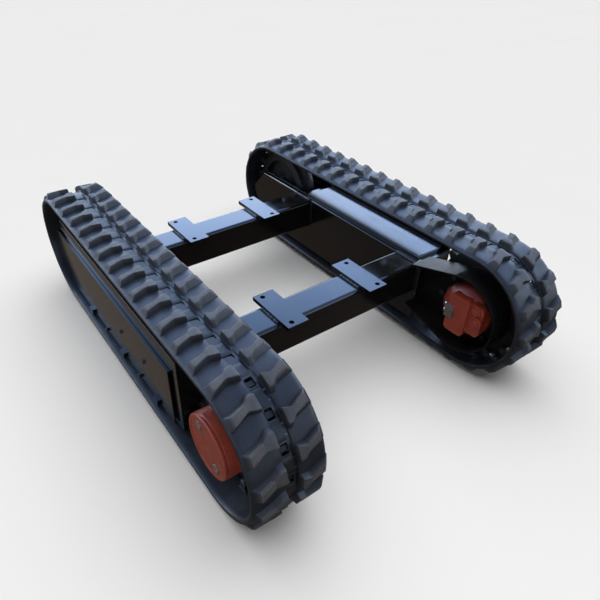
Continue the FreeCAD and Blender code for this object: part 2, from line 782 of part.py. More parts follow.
def make_idler(tag, side):
    """The idler wheel: a tread between the guide horns and a lower shoulder on each side."""
    bore = dim("axle_radius") + dim("running_fit")
    tread, shoulder = dim("idler_radius"), dim("shoulder_radius")
    half = [
        (31, bore), (31, 44), (10, 44), (10, 108), (30, 108), (30, shoulder), (12, shoulder), (12, tread)]
    outline = [(-x, radius) for x, radius in half] + half[::-1]
    keep(f"idler_{tag}", turned(f"Idler{tag}", side, IDLER_Y, AXLE_Z, outline))
    axle = cylinder(
        f"IdlerAxle{tag}", "x", across(side, -dim("yoke_outer"), dim("yoke_outer")),
        (IDLER_Y, AXLE_Z), dim("axle_radius"))
    keep(f"idler_axle_{tag}", axle)


def make_yoke(tag, side):
    """The fork that holds the idler, with its crosshead and the rod into the grease cylinder."""
    inner, outer = dim("yoke_inner"), dim("yoke_outer")
    head = (dim("crosshead_rear_y"), dim("crosshead_rear_y") + 24)
    pieces = [box(f"Crosshead{tag}", across(side, -outer, outer), head, (AXLE_Z - 26, AXLE_Z + 26))]
    for sign in (-1, 1):
        arm = across(side, inner * sign, outer * sign)
        bar = box(f"Arm{tag}{sign}", arm, (head[1], IDLER_Y), (AXLE_Z - 22, AXLE_Z + 22))
        eye = cylinder(f"Eye{tag}{sign}", "x", arm, (IDLER_Y, AXLE_Z), 28)
        pieces += [bar, eye]
    bore = cylinder(
        f"EyeBore{tag}", "x", across(side, -outer - 1, outer + 1), (IDLER_Y, AXLE_Z),
        dim("axle_radius") + dim("running_fit"))
    rod_end = dim("cylinder_front_y") - 48
    rod = cylinder(
        f"Rod{tag}", "y", (rod_end, head[0]), (dim("gauge") / 2 * side, AXLE_Z), dim("rod_radius"))
    fork = cut(f"Fork{tag}", fuse(f"ForkBlank{tag}", pieces), bore)
    keep(f"idler_yoke_{tag}", fuse(f"Yoke{tag}", [fork, rod]))


def make_spring(tag, side):
    """The recoil spring between the cylinder's flange and the yoke's crosshead."""
    wire = dim("spring_wire").value
    start = dim("cylinder_front_y").value + wire + 0.2
    end = dim("crosshead_rear_y").value - wire - 0.2
    turns = dim("spring_turns").value
    helix = Part.makeHelix((end - start) / turns, end - start, dim("spring_radius").value)
    section = Part.Wire(Part.makeCircle(wire, Vector(dim("spring_radius").value, 0, 0), Vector(0, 1, 0)))
    coil = Part.Wire(helix).makePipeShell([section], True, True)
    place = Placement(
        Vector(side * dim("gauge").value / 2, start, AXLE_Z.value), Rotation(Vector(1, 0, 0), -90))
    keep(f"recoil_spring_{tag}", shape_node(f"Spring{tag}", coil, place))


def make_cylinder(tag, side):
    """The grease cylinder: barrel, flange, saddle on the floor and grease nipple."""
    x, z = dim("gauge") / 2 * side, AXLE_Z
    front = dim("cylinder_front_y")
    rear = front - 138
    pieces = [
        cylinder(f"Barrel{tag}", "y", (rear, front - 8), (x, z), 24),
        cylinder(f"Flange{tag}", "y", (front - 8, front), (x, z), 38),
        cylinder(f"Nipple{tag}", "y", (rear - 12, rear), (x, z), 6),
        box(f"Saddle{tag}", (x - 20, x + 20), (rear + 30, rear + 80), (dim("floor_low") + 8, z - 10)),
    ]
    bore = cylinder(
        f"BarrelBore{tag}", "y", (front - 98, front + 1), (x, z), dim("rod_radius") + dim("running_fit"))
    keep(f"grease_cylinder_{tag}", cut(f"GreaseCylinder{tag}", fuse(f"Barrels{tag}", pieces), bore))


# ---------------------------------------------------------------- bottom rollers

def make_rollers(tag, side):
    """Three rollers, each with two treads outside the guide horns, and their fixed axles."""
    bore = dim("roller_axle_radius") + dim("running_fit")
    tread = dim("roller_radius")
    half = [(50, bore), (50, tread - 1), (49, tread), (32, tread), (32, 18)]
    outline = [(-x, radius) for x, radius in half] + half[::-1]
    axles = []
    for number in (1, 2, 3):
        y = dim("roller_rear_y") + dim("roller_spacing") * (number - 1)
        keep(f"roller_{number}_{tag}", turned(f"Roller{number}{tag}", side, y, ROLLER_Z, outline))
        centre = (y, ROLLER_Z)
        axles.append(cylinder(
            f"RollerAxle{number}{tag}", "x", across(side, -dim("wall_inner"), dim("wall_outer")),
            centre, dim("roller_axle_radius")))
        for low, high in ((-dim("wall_inner"), -51.5), (51.5, dim("wall_outer"))):
            axles.append(cylinder(f"Collar{number}{tag}", "x", across(side, low, high), centre, 17))
    keep(f"roller_axles_{tag}", fuse(f"RollerAxles{tag}", axles))


# ---------------------------------------------------------------- assembly and export

def build():
    make_beam("cross_beam_rear", dim("beam_rear_y"))
    make_beam("cross_beam_front", dim("beam_front_y"))
    make_pads("mounting_plates_rear", dim("beam_rear_y"))
    make_pads("mounting_plates_front", dim("beam_front_y"))
    make_tracks()
    for tag, side in SIDES.items():
        make_sprocket(tag, side)
        make_drum(tag, side)
        make_motor(tag, side)
        make_walls(tag, side)
        make_side_cover(tag, side)
        make_deck(tag, side)
        make_lid(tag, side)
        make_floor(tag, side)
        make_idler(tag, side)
        make_yoke(tag, side)
        make_spring(tag, side)
        make_cylinder(tag, side)
        make_rollers(tag, side)
    DOC.recompute()


def check():
    """Stop if any object failed, or any sub-part has no valid shape."""
    failed = [item.Label for item in DOC.Objects if {"Invalid", "Error"} & set(item.State)]
    failed += [name for name, part in NODES.items() if part.Shape.isNull() or not part.Shape.isValid()]
    if failed:
        raise RuntimeError("not built: " + ", ".join(failed))


def export():
    os.makedirs("parts", exist_ok=True)
    for name, part in NODES.items():
        part.Shape.exportStep(os.path.join("parts", name + ".step"))
        print(f"{name:28s} solids {len(part.Shape.Solids):3d} volume {part.Shape.Volume / 1000:10.1f} cm3")


build()
check()
export()
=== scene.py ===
import json
import math

import bmesh
import bpy
from mathutils import Matrix, Vector, noise
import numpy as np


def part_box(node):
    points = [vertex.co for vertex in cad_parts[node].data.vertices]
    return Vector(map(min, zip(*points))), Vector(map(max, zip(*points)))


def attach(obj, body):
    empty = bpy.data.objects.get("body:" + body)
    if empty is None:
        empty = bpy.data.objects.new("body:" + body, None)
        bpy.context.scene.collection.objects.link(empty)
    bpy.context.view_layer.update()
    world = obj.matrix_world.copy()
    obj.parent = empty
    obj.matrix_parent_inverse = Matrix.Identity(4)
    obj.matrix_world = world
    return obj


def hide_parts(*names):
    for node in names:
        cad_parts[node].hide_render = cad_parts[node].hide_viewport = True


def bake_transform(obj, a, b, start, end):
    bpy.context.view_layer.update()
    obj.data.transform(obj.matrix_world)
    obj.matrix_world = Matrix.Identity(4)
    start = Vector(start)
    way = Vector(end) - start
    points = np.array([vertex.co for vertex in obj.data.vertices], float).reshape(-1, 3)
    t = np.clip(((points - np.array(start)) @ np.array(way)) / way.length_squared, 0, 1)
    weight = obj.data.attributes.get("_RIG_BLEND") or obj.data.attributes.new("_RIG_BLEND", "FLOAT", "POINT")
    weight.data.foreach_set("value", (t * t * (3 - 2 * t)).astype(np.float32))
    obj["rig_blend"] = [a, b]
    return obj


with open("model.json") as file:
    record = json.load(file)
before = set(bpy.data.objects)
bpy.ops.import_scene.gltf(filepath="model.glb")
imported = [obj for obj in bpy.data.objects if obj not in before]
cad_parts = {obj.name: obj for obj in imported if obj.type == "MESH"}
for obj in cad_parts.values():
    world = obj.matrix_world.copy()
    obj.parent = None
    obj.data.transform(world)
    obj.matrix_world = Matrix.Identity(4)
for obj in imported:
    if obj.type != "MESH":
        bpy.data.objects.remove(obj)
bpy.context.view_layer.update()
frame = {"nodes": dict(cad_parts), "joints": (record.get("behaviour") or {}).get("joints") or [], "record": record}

MM = 0.001
SIDES = {"left": -1, "right": 1}
NODES = frame["nodes"]
JOINTS = {joint["name"]: joint for joint in frame["joints"]}
CHASSIS = "chassis"

# Belt: the loop that both tracks follow, and where its links stand on it.
PITCH = 72 * MM
LINKS = 41
TEETH = 15
CORD_RADIUS = TEETH * PITCH / (2 * math.pi)     # steel cords in the belt, which set its pitch
AXLE_Z = JOINTS["drive_spin_left"]["pos_m"][2]
WHEEL_Y = JOINTS["idler_spin_left"]["pos_m"][1]
TREAD_HEIGHT = 30.1 * MM                    # belt's inner surface to the lug tops
BELT_INNER = AXLE_Z - TREAD_HEIGHT
RUN = 2 * WHEEL_Y
ARC = math.pi * CORD_RADIUS
TRAVEL = {"left": 0.0, "right": -25 * MM}   # a core's distance from the top of the sprocket
LUG_LAG = 11 * MM                           # right-hand lugs behind the windows' centres
WINDOW_HALF = 15 * MM
STRIP_HALF = 12 * MM                        # centre strip that the windows pierce
STRIP_HEIGHT = 12.3 * MM


# ---------------------------------------------------------------- materials

class Shader:
    """A node material under construction: small helpers round one node tree."""

    def __init__(self, name):
        self.material = bpy.data.materials.new(name)
        self.material.use_nodes = True
        self.tree = self.material.node_tree
        self.tree.nodes.clear()
        self.output = self.add("ShaderNodeOutputMaterial")
        self.surface = self.add("ShaderNodeBsdfPrincipled")
        self.join(self.surface.outputs["BSDF"], self.output.inputs["Surface"])
        self.place = self.add("ShaderNodeTexCoord").outputs["Object"]

    def add(self, kind, **settings):
        node = self.tree.nodes.new(kind)
        for name, value in settings.items():
            setattr(node, name, value)
        return node

    def join(self, source, target):
        self.tree.links.new(source, target)

    def feed(self, target, value):
        """Give a socket a constant or another socket."""
        if isinstance(value, bpy.types.NodeSocket):
            self.join(value, target)
        elif isinstance(value, tuple) and len(value) == 3 and len(target.default_value) == 4:
            target.default_value = (*value, 1.0)
        else:
            target.default_value = value

    def set(self, name, value):
        self.feed(self.surface.inputs[name], value)

    def noise(self, scale, detail=4.0, roughness=0.55, stretch=(1, 1, 1), distortion=0.0):
        mapping = self.add("ShaderNodeMapping")
        mapping.inputs["Scale"].default_value = stretch
        self.join(self.place, mapping.inputs["Vector"])
        node = self.add("ShaderNodeTexNoise")
        self.join(mapping.outputs["Vector"], node.inputs["Vector"])
        node.inputs["Scale"].default_value = scale
        node.inputs["Detail"].default_value = detail
        node.inputs["Roughness"].default_value = roughness
        node.inputs["Distortion"].default_value = distortion
        return node.outputs["Fac"]

    def ramp(self, source, low, high, start=0.0, end=1.0):
        """Map a source from [low, high] to [start, end], clamped."""
        node = self.add("ShaderNodeMapRange", clamp=True)
        self.join(source, node.inputs["Value"])
        for name, value in (("From Min", low), ("From Max", high), ("To Min", start), ("To Max", end)):
            node.inputs[name].default_value = value
        return node.outputs["Result"]

    def math(self, operation, first, second):
        node = self.add("ShaderNodeMath", operation=operation)
        self.feed(node.inputs[0], first)
        self.feed(node.inputs[1], second)
        return node.outputs["Value"]

    def mix(self, amount, first, second):
        """A colour mix."""
        node = self.add("ShaderNodeMix", data_type="RGBA")
        self.feed(node.inputs["Factor"], amount)
        self.feed(node.inputs["A"], first)
        self.feed(node.inputs["B"], second)
        return node.outputs["Result"]

    def edges(self, radius, low=0.02, high=0.16):
        """1 at the edges of any mesh, falling to 0 about a radius away from them."""
        rounded_normal = self.add("ShaderNodeBevel", samples=6)
        rounded_normal.inputs["Radius"].default_value = radius
        dot = self.add("ShaderNodeVectorMath", operation="DOT_PRODUCT")
        self.join(rounded_normal.outputs["Normal"], dot.inputs[0])
        self.join(self.add("ShaderNodeNewGeometry").outputs["Normal"], dot.inputs[1])
        return self.ramp(self.math("SUBTRACT", 1.0, dot.outputs["Value"]), low, high)

    def upward(self, low):
        """1 on faces that look up, 0 where the normal's height is below low."""
        split = self.add("ShaderNodeSeparateXYZ")
        self.join(self.add("ShaderNodeNewGeometry").outputs["Normal"], split.inputs["Vector"])
        return self.ramp(split.outputs["Z"], low, 1.0)

    def bump(self, *layers):
        """Stack (height, strength, distance) layers into the surface normal."""
        normal = None
        for height, strength, distance in layers:
            node = self.add("ShaderNodeBump")
            node.inputs["Strength"].default_value = strength
            node.inputs["Distance"].default_value = distance
            self.join(height, node.inputs["Height"])
            if normal is not None:
                self.join(normal, node.inputs["Normal"])
            normal = node.outputs["Normal"]
        self.join(normal, self.surface.inputs["Normal"])


def make_black_paint(name="black_paint", streaks=0.0, coat=0.4, haze=0.0, mirror=0.5):
    """Black enamel: orange peel, a trace of dust on top, chips along the edges.

    streaks adds long brush marks, coat and mirror set the strength of the gloss, and haze dulls it.
    """
    blue_black, brown_black = (0.0035, 0.0036, 0.0042), (0.0065, 0.006, 0.006)
    dust_grey, bare_grey = (0.16, 0.165, 0.17), (0.07, 0.066, 0.062)
    shader = Shader(name)
    dust = shader.math("MULTIPLY", shader.upward(0.7), shader.ramp(shader.noise(9, 6, 0.7), 0.45, 0.75))
    flaked = shader.ramp(shader.noise(90, 4, 0.6), 0.58, 0.64)
    chips = shader.math("MULTIPLY", shader.edges(1.5 * MM, 0.14, 0.28), flaked)
    shade = shader.mix(shader.noise(3, 2), blue_black, brown_black)
    dusty = shader.mix(shader.math("MULTIPLY", dust, 0.06), shade, dust_grey)
    shader.set("Base Color", shader.mix(shader.math("MULTIPLY", chips, 0.6), dusty, bare_grey))
    gloss = shader.ramp(shader.noise(14, 5, 0.65), 0.3, 0.75, 0.10 + haze, 0.20 + haze)
    drawn = shader.ramp(shader.noise(60, 3, 0.6, (1, 0.03, 1)), 0.35, 0.7, 0.0, 0.09 * streaks)
    streaked = shader.math("ADD", gloss, drawn)
    shader.set("Roughness", shader.math("ADD", streaked, shader.math("MULTIPLY", dust, 0.10)))
    shader.set("Coat Weight", coat)
    shader.set("Specular IOR Level", mirror)
    shader.set("Coat Roughness", 0.12)
    shader.bump((shader.noise(160, 2), 0.04, 0.00015), (shader.noise(12, 3), 0.12, 0.0010))
    return shader.material


def make_red_paint(name="red_paint", cast=0.0):
    """Red oxide enamel on turned or, with cast above 0, sand-cast iron."""
    deep_red, bright_red = (0.22, 0.026, 0.012), (0.31, 0.045, 0.022)
    rubbed_red, grime_brown = (0.42, 0.10, 0.06), (0.075, 0.022, 0.018)
    shader = Shader(name)
    grime = shader.ramp(shader.noise(22, 6, 0.7), 0.46, 0.70)
    tone = shader.mix(shader.noise(6, 3), deep_red, bright_red)
    worn = shader.mix(shader.edges(2.0 * MM), tone, rubbed_red)
    shader.set("Base Color", shader.mix(shader.math("MULTIPLY", grime, 0.5), worn, grime_brown))
    shader.set("Roughness", shader.ramp(shader.noise(30, 5), 0.3, 0.7, 0.26, 0.46))
    shader.bump(
        (shader.noise(240, 3), 0.10 + 0.3 * cast, 0.0005), (shader.noise(40, 3), 0.15 + 0.3 * cast, 0.0010))
    return shader.material


def make_rubber():
    """Moulded rubber: smooth and bluish between the lugs, dusty and scuffed brown-grey on their tops.

    The mesh's "dust" is 0 on the carcass, 1 on the lugs' tops and more on the ribs' crests; its -1 in the groove
    paints shade there, near black.
    """
    blue_black, slate, bloom_blue = (0.0065, 0.0070, 0.0095), (0.0115, 0.0122, 0.0155), (0.026, 0.028, 0.036)
    painted_groove_shade, dust_grey, crest_grey = (0.002, 0.002, 0.0025), (0.118, 0.112, 0.110), (0.165, 0.158, 0.155)
    shader = Shader("track_rubber")
    raised = shader.add("ShaderNodeAttribute", attribute_name="dust").outputs["Fac"]
    dark = shader.mix(shader.noise(5, 3), blue_black, slate)
    bloom = shader.ramp(shader.noise(16, 6, 0.68), 0.36, 0.70)
    body = shader.mix(shader.math("MULTIPLY", bloom, 0.5), dark, bloom_blue)
    grit = shader.ramp(shader.noise(34, 5, 0.7), 0.30, 0.66, 0.35, 1.0)
    dust = shader.math("MULTIPLY", shader.math("MULTIPLY", raised, grit), 0.42)
    # painted shade: the groove beside the windows is darkened towards black where dust is below 0
    shaded = shader.mix(shader.ramp(raised, -1, 0, 0.85, 0), body, painted_groove_shade)
    worn = shader.mix(dust, shaded, dust_grey)
    crest = shader.math("MULTIPLY", shader.ramp(raised, 1.05, 1.6), 0.45)
    shader.set("Base Color", shader.mix(crest, worn, crest_grey))
    smooth = shader.ramp(shader.noise(26, 5, 0.6), 0.3, 0.7, 0.37, 0.53)
    shader.set("Roughness", shader.math("ADD", smooth, shader.math("MULTIPLY", raised, 0.10)))
    shader.bump((shader.noise(700, 3), 0.14, 0.0003), (shader.noise(60, 4, 0.6), 0.20, 0.0010))
    return shader.material


def make_core_iron():
    """Track cores: cast iron rubbed bright where the teeth and rollers run."""
    rust_black, bright_iron = (0.03, 0.026, 0.023), (0.17, 0.165, 0.16)
    shader = Shader("core_iron")
    rubbed = shader.ramp(shader.noise(50, 5), 0.40, 0.62)
    shader.set("Base Color", shader.mix(rubbed, rust_black, bright_iron))
    shader.set("Metallic", shader.ramp(rubbed, 0, 1, 0.45, 1.0))
    shader.set("Roughness", shader.ramp(shader.noise(80, 4), 0.3, 0.7, 0.28, 0.50))
    shader.bump((shader.noise(200, 4), 0.35, 0.0006))
    return shader.material


def make_wheel_iron():
    """Sprockets, idlers, rollers and yokes: black-coated castings, bare where they rub."""
    coat_black, brown_black, bare_iron = (0.006, 0.006, 0.0065), (0.014, 0.013, 0.0125), (0.20, 0.19, 0.18)
    shader = Shader("wheel_iron")
    scuffs = shader.math("MULTIPLY", shader.edges(1.8 * MM), shader.ramp(shader.noise(60, 4), 0.44, 0.60))
    shade = shader.mix(shader.noise(8, 4), coat_black, brown_black)
    shader.set("Base Color", shader.mix(scuffs, shade, bare_iron))
    shader.set("Metallic", shader.math("MULTIPLY", scuffs, 0.9))
    shader.set("Roughness", shader.ramp(shader.noise(40, 5), 0.3, 0.7, 0.34, 0.58))
    shader.bump((shader.noise(150, 4), 0.30, 0.0007), (shader.noise(25, 3), 0.20, 0.0012))
    return shader.material


def make_steel(name, light, dark, rough):
    """Plated or bare steel with fine brushed variation and stains."""
    shader = Shader(name)
    stain = shader.ramp(shader.noise(45, 6, 0.7), 0.45, 0.70)
    shader.set("Base Color", shader.mix(shader.math("MULTIPLY", stain, 0.7), light, dark))
    shader.set("Metallic", 0.95)
    shader.set("Roughness", shader.ramp(shader.noise(90, 5), 0.3, 0.7, rough, rough + 0.18))
    shader.bump((shader.noise(500, 2, 0.5, (1, 8, 1)), 0.12, 0.0003), (shader.noise(120, 3), 0.10, 0.0004))
    return shader.material


MATERIALS = {
    "black_paint": make_black_paint(),
    "deck_paint": make_black_paint("deck_paint", streaks=1.0, coat=0.5),
    "beam_paint": make_black_paint("beam_paint", coat=0.55),
    "guard_paint": make_black_paint("guard_paint", coat=0.0, haze=0.14, mirror=0.12),
    "red_paint": make_red_paint(),
    "red_casting": make_red_paint("red_casting", cast=1.0),
    "track_rubber": make_rubber(),
    "core_iron": make_core_iron(),
    "wheel_iron": make_wheel_iron(),
    "bright_steel": make_steel("bright_steel", (0.50, 0.49, 0.47), (0.26, 0.24, 0.20), 0.25),
    "dark_steel": make_steel("dark_steel", (0.13, 0.13, 0.135), (0.05, 0.045, 0.042), 0.32),
}


# ---------------------------------------------------------------- mesh helpers

def make_piece(name, mesh, slot, body=CHASSIS, smooth=35):
    """Finish a bmesh as a piece: shading, its slot's material and the body it rides on, if only one."""
    bmesh.ops.recalc_face_normals(mesh, faces=mesh.faces)
    data = bpy.data.meshes.new(name)
    mesh.to_mesh(data)
    mesh.free()
    data.polygons.foreach_set("use_smooth", [True] * len(data.polygons))
    data.set_sharp_from_angle(angle=math.radians(smooth))
    data.materials.append(MATERIALS[slot])
    piece = bpy.data.objects.new(name, data)
    bpy.context.scene.collection.objects.link(piece)
    if body:
        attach(piece, body)
    return piece


def add_rings(mesh, rings, caps=True, loop=False):
    """Skin a list of closed rings of equal point count; loop joins the last ring to the first."""
    verts = [[mesh.verts.new(point) for point in ring] for ring in rings]
    count = len(verts[0])
    for low, high in zip(verts, verts[1:] + verts[:1] * loop):
        for index in range(count):
            after = (index + 1) % count
            mesh.faces.new((low[index], low[after], high[after], high[index]))
    if caps:
        mesh.faces.new(verts[0][::-1])
        mesh.faces.new(verts[-1])
    return verts


def rounded(outline, radius, steps=4):
    """Round the corners of a closed plan outline, each with an arc of the same number of points."""
    points = []
    total = len(outline)
    for index, corner in enumerate(outline):
        corner = Vector(corner)
        before = Vector(outline[index - 1]) - corner
        after = Vector(outline[(index + 1) % total]) - corner
        reach = min(radius, 0.45 * before.length, 0.45 * after.length)
        start, end = corner + before.normalized() * reach, corner + after.normalized() * reach
        for step in range(steps + 1):
            t = step / steps
            points.append(start * (1 - t) ** 2 + corner * 2 * t * (1 - t) + end * t ** 2)
    return points


# ---------------------------------------------------------------- rubber tracks

def loop_point(side, distance, across, height):
    """A point of a track, from its distance along the loop, offset across and height off the inside."""
    distance %= 2 * (RUN + ARC)
    back = distance >= RUN + ARC
    distance -= (RUN + ARC) * back
    radius = BELT_INNER + height
    if distance < RUN:
        y, z = distance - RUN / 2, radius
    else:
        turn = (distance - RUN) / CORD_RADIUS
        y, z = RUN / 2 + radius * math.sin(turn), radius * math.cos(turn)
    sign = -1 if back else 1
    centre = JOINTS[f"drive_spin_{side}"]["pos_m"][0]
    return Vector((centre + across, sign * y, AXLE_Z + sign * z))


# The tracks' outlines below are in millimetres: distance across from the middle, and height off the inside
# or, in plan, distance along the belt. Row -1 is the left half of a belt and row 1 the right half.
STEPS_PER_LINK = 10
FACE_WAVE, EDGE_WAVE = 0.35, 0.5            # how far the moulded face and edge stray from true
OUTER_SECTION = [                           # tread side and edge of one half
    (30, 15.0), (46, 15.0), (62, 15.0), (76, 15.0), (82, 14.4), (86.5, 12.9), (89.2, 10.4), (90, 7.4),
    (89.6, 4.2), (88.2, 1.6), (85.5, 0.2), (75, 0.0), (66, 0.0), (62.5, -0.2), (40, -0.3), (29.5, -0.3),
    (28.6, 0.9), (17.6, 0.9), (16.6, 1.6), (16.3, 5.0), (16.2, 8.3), (12.0, 8.4)]
INNER_SECTION = {                           # beside the windows; the right half has a deep groove there
    -1: [(12.0, 12.3), (12.6, 14.4), (14.2, 15.0)],
    1: [(12.0, 11.9), (12.4, 11.8), (17.8, 11.8), (18.6, 12.6), (19.4, 14.4), (20.6, 15.0)]}
GROOVE_POINTS = {-1: 0, 1: 4}               # first points of a section that lie in the groove
# a dust value below 0 paints shade into the groove's rubber
GROOVE_PAINTED_SHADE = -1.0


def add_band(mesh, side, row):
    """One half of the carcass, swept right round the loop."""
    rings = []
    for step in range(LINKS * STEPS_PER_LINK):
        distance = step * PITCH / STEPS_PER_LINK
        ring = []
        for across, height in INNER_SECTION[row] + OUTER_SECTION:
            if across > 20 and height > 10:
                height += FACE_WAVE * noise.noise(Vector((distance * 14, across * 0.09, row * 7.0)))
            if across > 84:
                across -= abs(EDGE_WAVE * noise.noise(Vector((distance * 9, 3.0, row * 5.0))))
            ring.append(loop_point(side, distance, row * across * MM, height * MM))
        rings.append(ring)
    dust = mesh.verts.layers.float["dust"]
    for ring in add_rings(mesh, rings, caps=False, loop=True):
        # the groove's points get a negative dust value: painted shade in the rubber's colour
        for vert in ring[:GROOVE_POINTS[row]]:
            vert[dust] = GROOVE_PAINTED_SHADE


def add_centre_strip(mesh, side, middle):
    """The rubber over one core, between two windows, rounded at its ends."""
    half, low, crown = STRIP_HALF, 8.4 * MM, 0.2 * MM
    length = PITCH / 2 - WINDOW_HALF
    edge, flat = 1.6 * MM, 8 * MM
    rings = []
    for offset, drop in (
            (-length, 2.2), (-length + edge * 0.4, 0.8), (-length + edge, 0.1), (-flat, 0.0),
            (flat, 0.0), (length - edge, 0.1), (length - edge * 0.4, 0.8), (length, 2.2)):
        high = STRIP_HEIGHT - drop * MM
        rings.append([
            loop_point(side, middle + offset, across, height)
            for across, height in (
                (-half, low), (half, low), (half, high), (0, high + crown), (-half, high))])
    add_rings(mesh, rings)


FLAP = [(-11.8, -15.8), (11.8, -15.8), (11.6, 1.0), (8.6, 2.5), (8.2, 9.0), (-2.0, 11.4), (-11.8, 12.0)]
WINDOW_RIM = [(-12.0, -15.9), (12.0, -15.9), (12.0, 15.9), (-12.0, 15.9)]
WINDOW_HOLE = [(-9.0, -11.5), (9.0, -11.5), (9.0, 11.5), (-9.0, 11.5)]
FLAP_THICKNESS = 1.5
FLAP_LIFTS = (0.02, 0.05, 0.0, 0.09, 0.03)  # slopes of the loose ends, in turn round the belt


def add_flap(mesh, side, middle, lift, low=10.4):
    """The rubber skin that closes most of a window, slit along two of its edges."""
    outline = rounded(FLAP, 1.2, 2)
    rings = []
    for height in (low, low + FLAP_THICKNESS):
        rings.append([
            loop_point(side, middle + y * MM, x * MM, (height + max(0.0, y) * lift) * MM)
            for x, y in outline])
    add_rings(mesh, rings)


def add_window_frame(mesh, side, middle):
    """The thick rounded rim inside a window that the sprocket opens out."""
    rim, hole = rounded(WINDOW_RIM, 1.0), rounded(WINDOW_HOLE, 4.0)
    lip = [point * 1.08 for point in hole]
    layers = ((rim, 9.0), (hole, 9.0), (hole, 12.4), (lip, 13.1), (rim, 12.6))
    rings = [
        [loop_point(side, middle + y * MM, x * MM, height * MM) for x, y in ring] for ring, height in layers]
    add_rings(mesh, rings, caps=False, loop=True)


LUG_FOOT = {
    -1: [(13, -29), (29, -29), (42, -17), (84, -7), (84, 25.5), (41, 9), (13, 15)],
    1: [(19.6, -29), (31, -29), (42, -17), (88, -6), (88, 27), (41, 9), (19.6, 15)]}
LUG_TOP = {
    -1: [(14.5, -19), (30, -19), (43, -8), (76.5, 0.5), (76.5, 19.5), (41, 5), (14.5, 12)],
    1: [(21.0, -19), (31, -19), (43, -8), (74.5, 0), (74.5, 19), (41, 5), (21.0, 12)]}
FOOT_LIMIT = 88.5                           # the flare of a foot stops short of the belt's edge
LUG_WEAR, LUG_SINK = 0.35, 0.3              # unevenness of the tops, and how far it is sunk to stay in size


def blend_outlines(low, high, amount):
    """An outline part of the way from one to another, point by point."""
    return [a.lerp(b, amount) for a, b in zip(low, high)]


def add_lug(mesh, side, row, middle, seed):
    """One lug: a flared foot, sloping flanks, rounded top edges and a slightly crowned top."""
    foot = rounded(LUG_FOOT[row], 4.0)
    top = rounded(LUG_TOP[row], 3.5)
    crown = [sum(top, Vector((0, 0))) / len(top)] * len(top)
    flare = [Vector((min(x, FOOT_LIMIT), y)) for x, y in blend_outlines(foot, crown, -0.05)]
    layers = [                              # outline, height, dust
        (flare, 13.2, 0.0), (blend_outlines(flare, foot, 0.7), 15.1, 0.0),
        (blend_outlines(foot, top, 0.12), 17.0, 0.05), (blend_outlines(foot, top, 0.5), 22.3, 0.25),
        (blend_outlines(foot, top, 0.9), 28.3, 0.7), (blend_outlines(top, crown, 0.015), 29.5, 1.0),
        (blend_outlines(top, crown, 0.06), 29.9, 1.0), (blend_outlines(top, crown, 0.45), 29.95, 1.0)]
    rings = []
    for outline, height, _ in layers:
        ring = []
        for x, y in outline:
            wear = LUG_WEAR * noise.noise(Vector((x * 0.06, y * 0.06, seed * 3.1)))
            shown = height + (wear - LUG_SINK if height > 28 else 0.0)
            ring.append(loop_point(side, middle + row * y * MM, row * x * MM, shown * MM))
        rings.append(ring)
    verts = add_rings(mesh, rings, caps=False)
    mesh.faces.new(verts[-1])
    dust = mesh.verts.layers.float["dust"]
    for ring, (_, _, amount) in zip(verts, layers):
        for vert in ring:
            vert[dust] = amount


def edge_at(outline, x, rear):
    """Where a lug outline's rear or front edge crosses a position across the belt."""
    crossings = []
    for (x1, y1), (x2, y2) in zip(outline, outline[1:] + outline[:1]):
        if x1 != x2 and min(x1, x2) <= x <= max(x1, x2):
            crossings.append(y1 + (y2 - y1) * (x - x1) / (x2 - x1))
    return min(crossings) if rear else max(crossings)


RIBS, FIRST_RIB, RIB_SPACING = 8, 44.0, 4.2
RIB_DUST = (0.9, 1.6, 1.6, 0.9)             # from one foot of a rib over its crest to the other


def add_ribs(mesh, side, row, middle):
    """Moulded ridges that run up the gentle face of a lug and over its top."""
    half_width, half_crest, ridge, sunk = 1.1, 0.4, 0.8, 0.6
    dust = mesh.verts.layers.float["dust"]
    for rib in range(RIBS):
        x = FIRST_RIB + RIB_SPACING * rib
        foot, rear = edge_at(LUG_FOOT[row], x, True), edge_at(LUG_TOP[row], x, True)
        front = edge_at(LUG_TOP[row], x, False)
        path = [
            (foot * 0.6 + rear * 0.4, 20.2, 0.1), (foot * 0.12 + rear * 0.88, 28.0, ridge),
            (rear + 1.0, 29.2, ridge), (front - 3.5, 29.3, 0.8 * ridge), (front - 1.2, 29.2, 0.1)]
        rings = []
        for y, height, proud in path:
            rings.append([
                loop_point(side, middle + row * y * MM, row * (x + dx) * MM, (height + dz) * MM)
                for dx, dz in (
                    (-half_width, -sunk), (-half_crest, proud), (half_crest, proud), (half_width, -sunk))])
        for ring in add_rings(mesh, rings):
            for vert, amount in zip(ring, RIB_DUST):
                vert[dust] = amount


def make_track(side):
    """A whole rubber track, in place of the plain one.

    Its windows are open in a frame round the sprocket, and closed by loose flaps elsewhere. On the right
    track the open ones have a thin skin across them as well.
    """
    mesh = bmesh.new()
    mesh.verts.layers.float.new("dust")
    for row in (-1, 1):
        add_band(mesh, side, row)
    for link in range(LINKS):
        core = TRAVEL[side] + link * PITCH
        window = core + PITCH / 2
        add_centre_strip(mesh, side, core)
        middle_of_window = loop_point(side, window, 0, 0)
        if middle_of_window.y < -WHEEL_Y - PITCH / 4 and middle_of_window.z > AXLE_Z - 2 * PITCH:
            add_window_frame(mesh, side, window)
            if side == "right":
                add_flap(mesh, side, window, 0.0, low=8.5)
        else:
            add_flap(mesh, side, window, FLAP_LIFTS[link % len(FLAP_LIFTS)])
        for row, middle in ((1, window - LUG_LAG), (-1, window - LUG_LAG + PITCH / 2)):
            add_lug(mesh, side, row, middle, link + 50 * row)
            add_ribs(mesh, side, row, middle)
    piece = make_piece(f"track_{side}", mesh, "track_rubber", smooth=42)
    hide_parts(f"rubber_track_{side}")


# ---------------------------------------------------------------- welds

RIPPLE = 3.2 * MM                           # length of one ripple of a weld bead


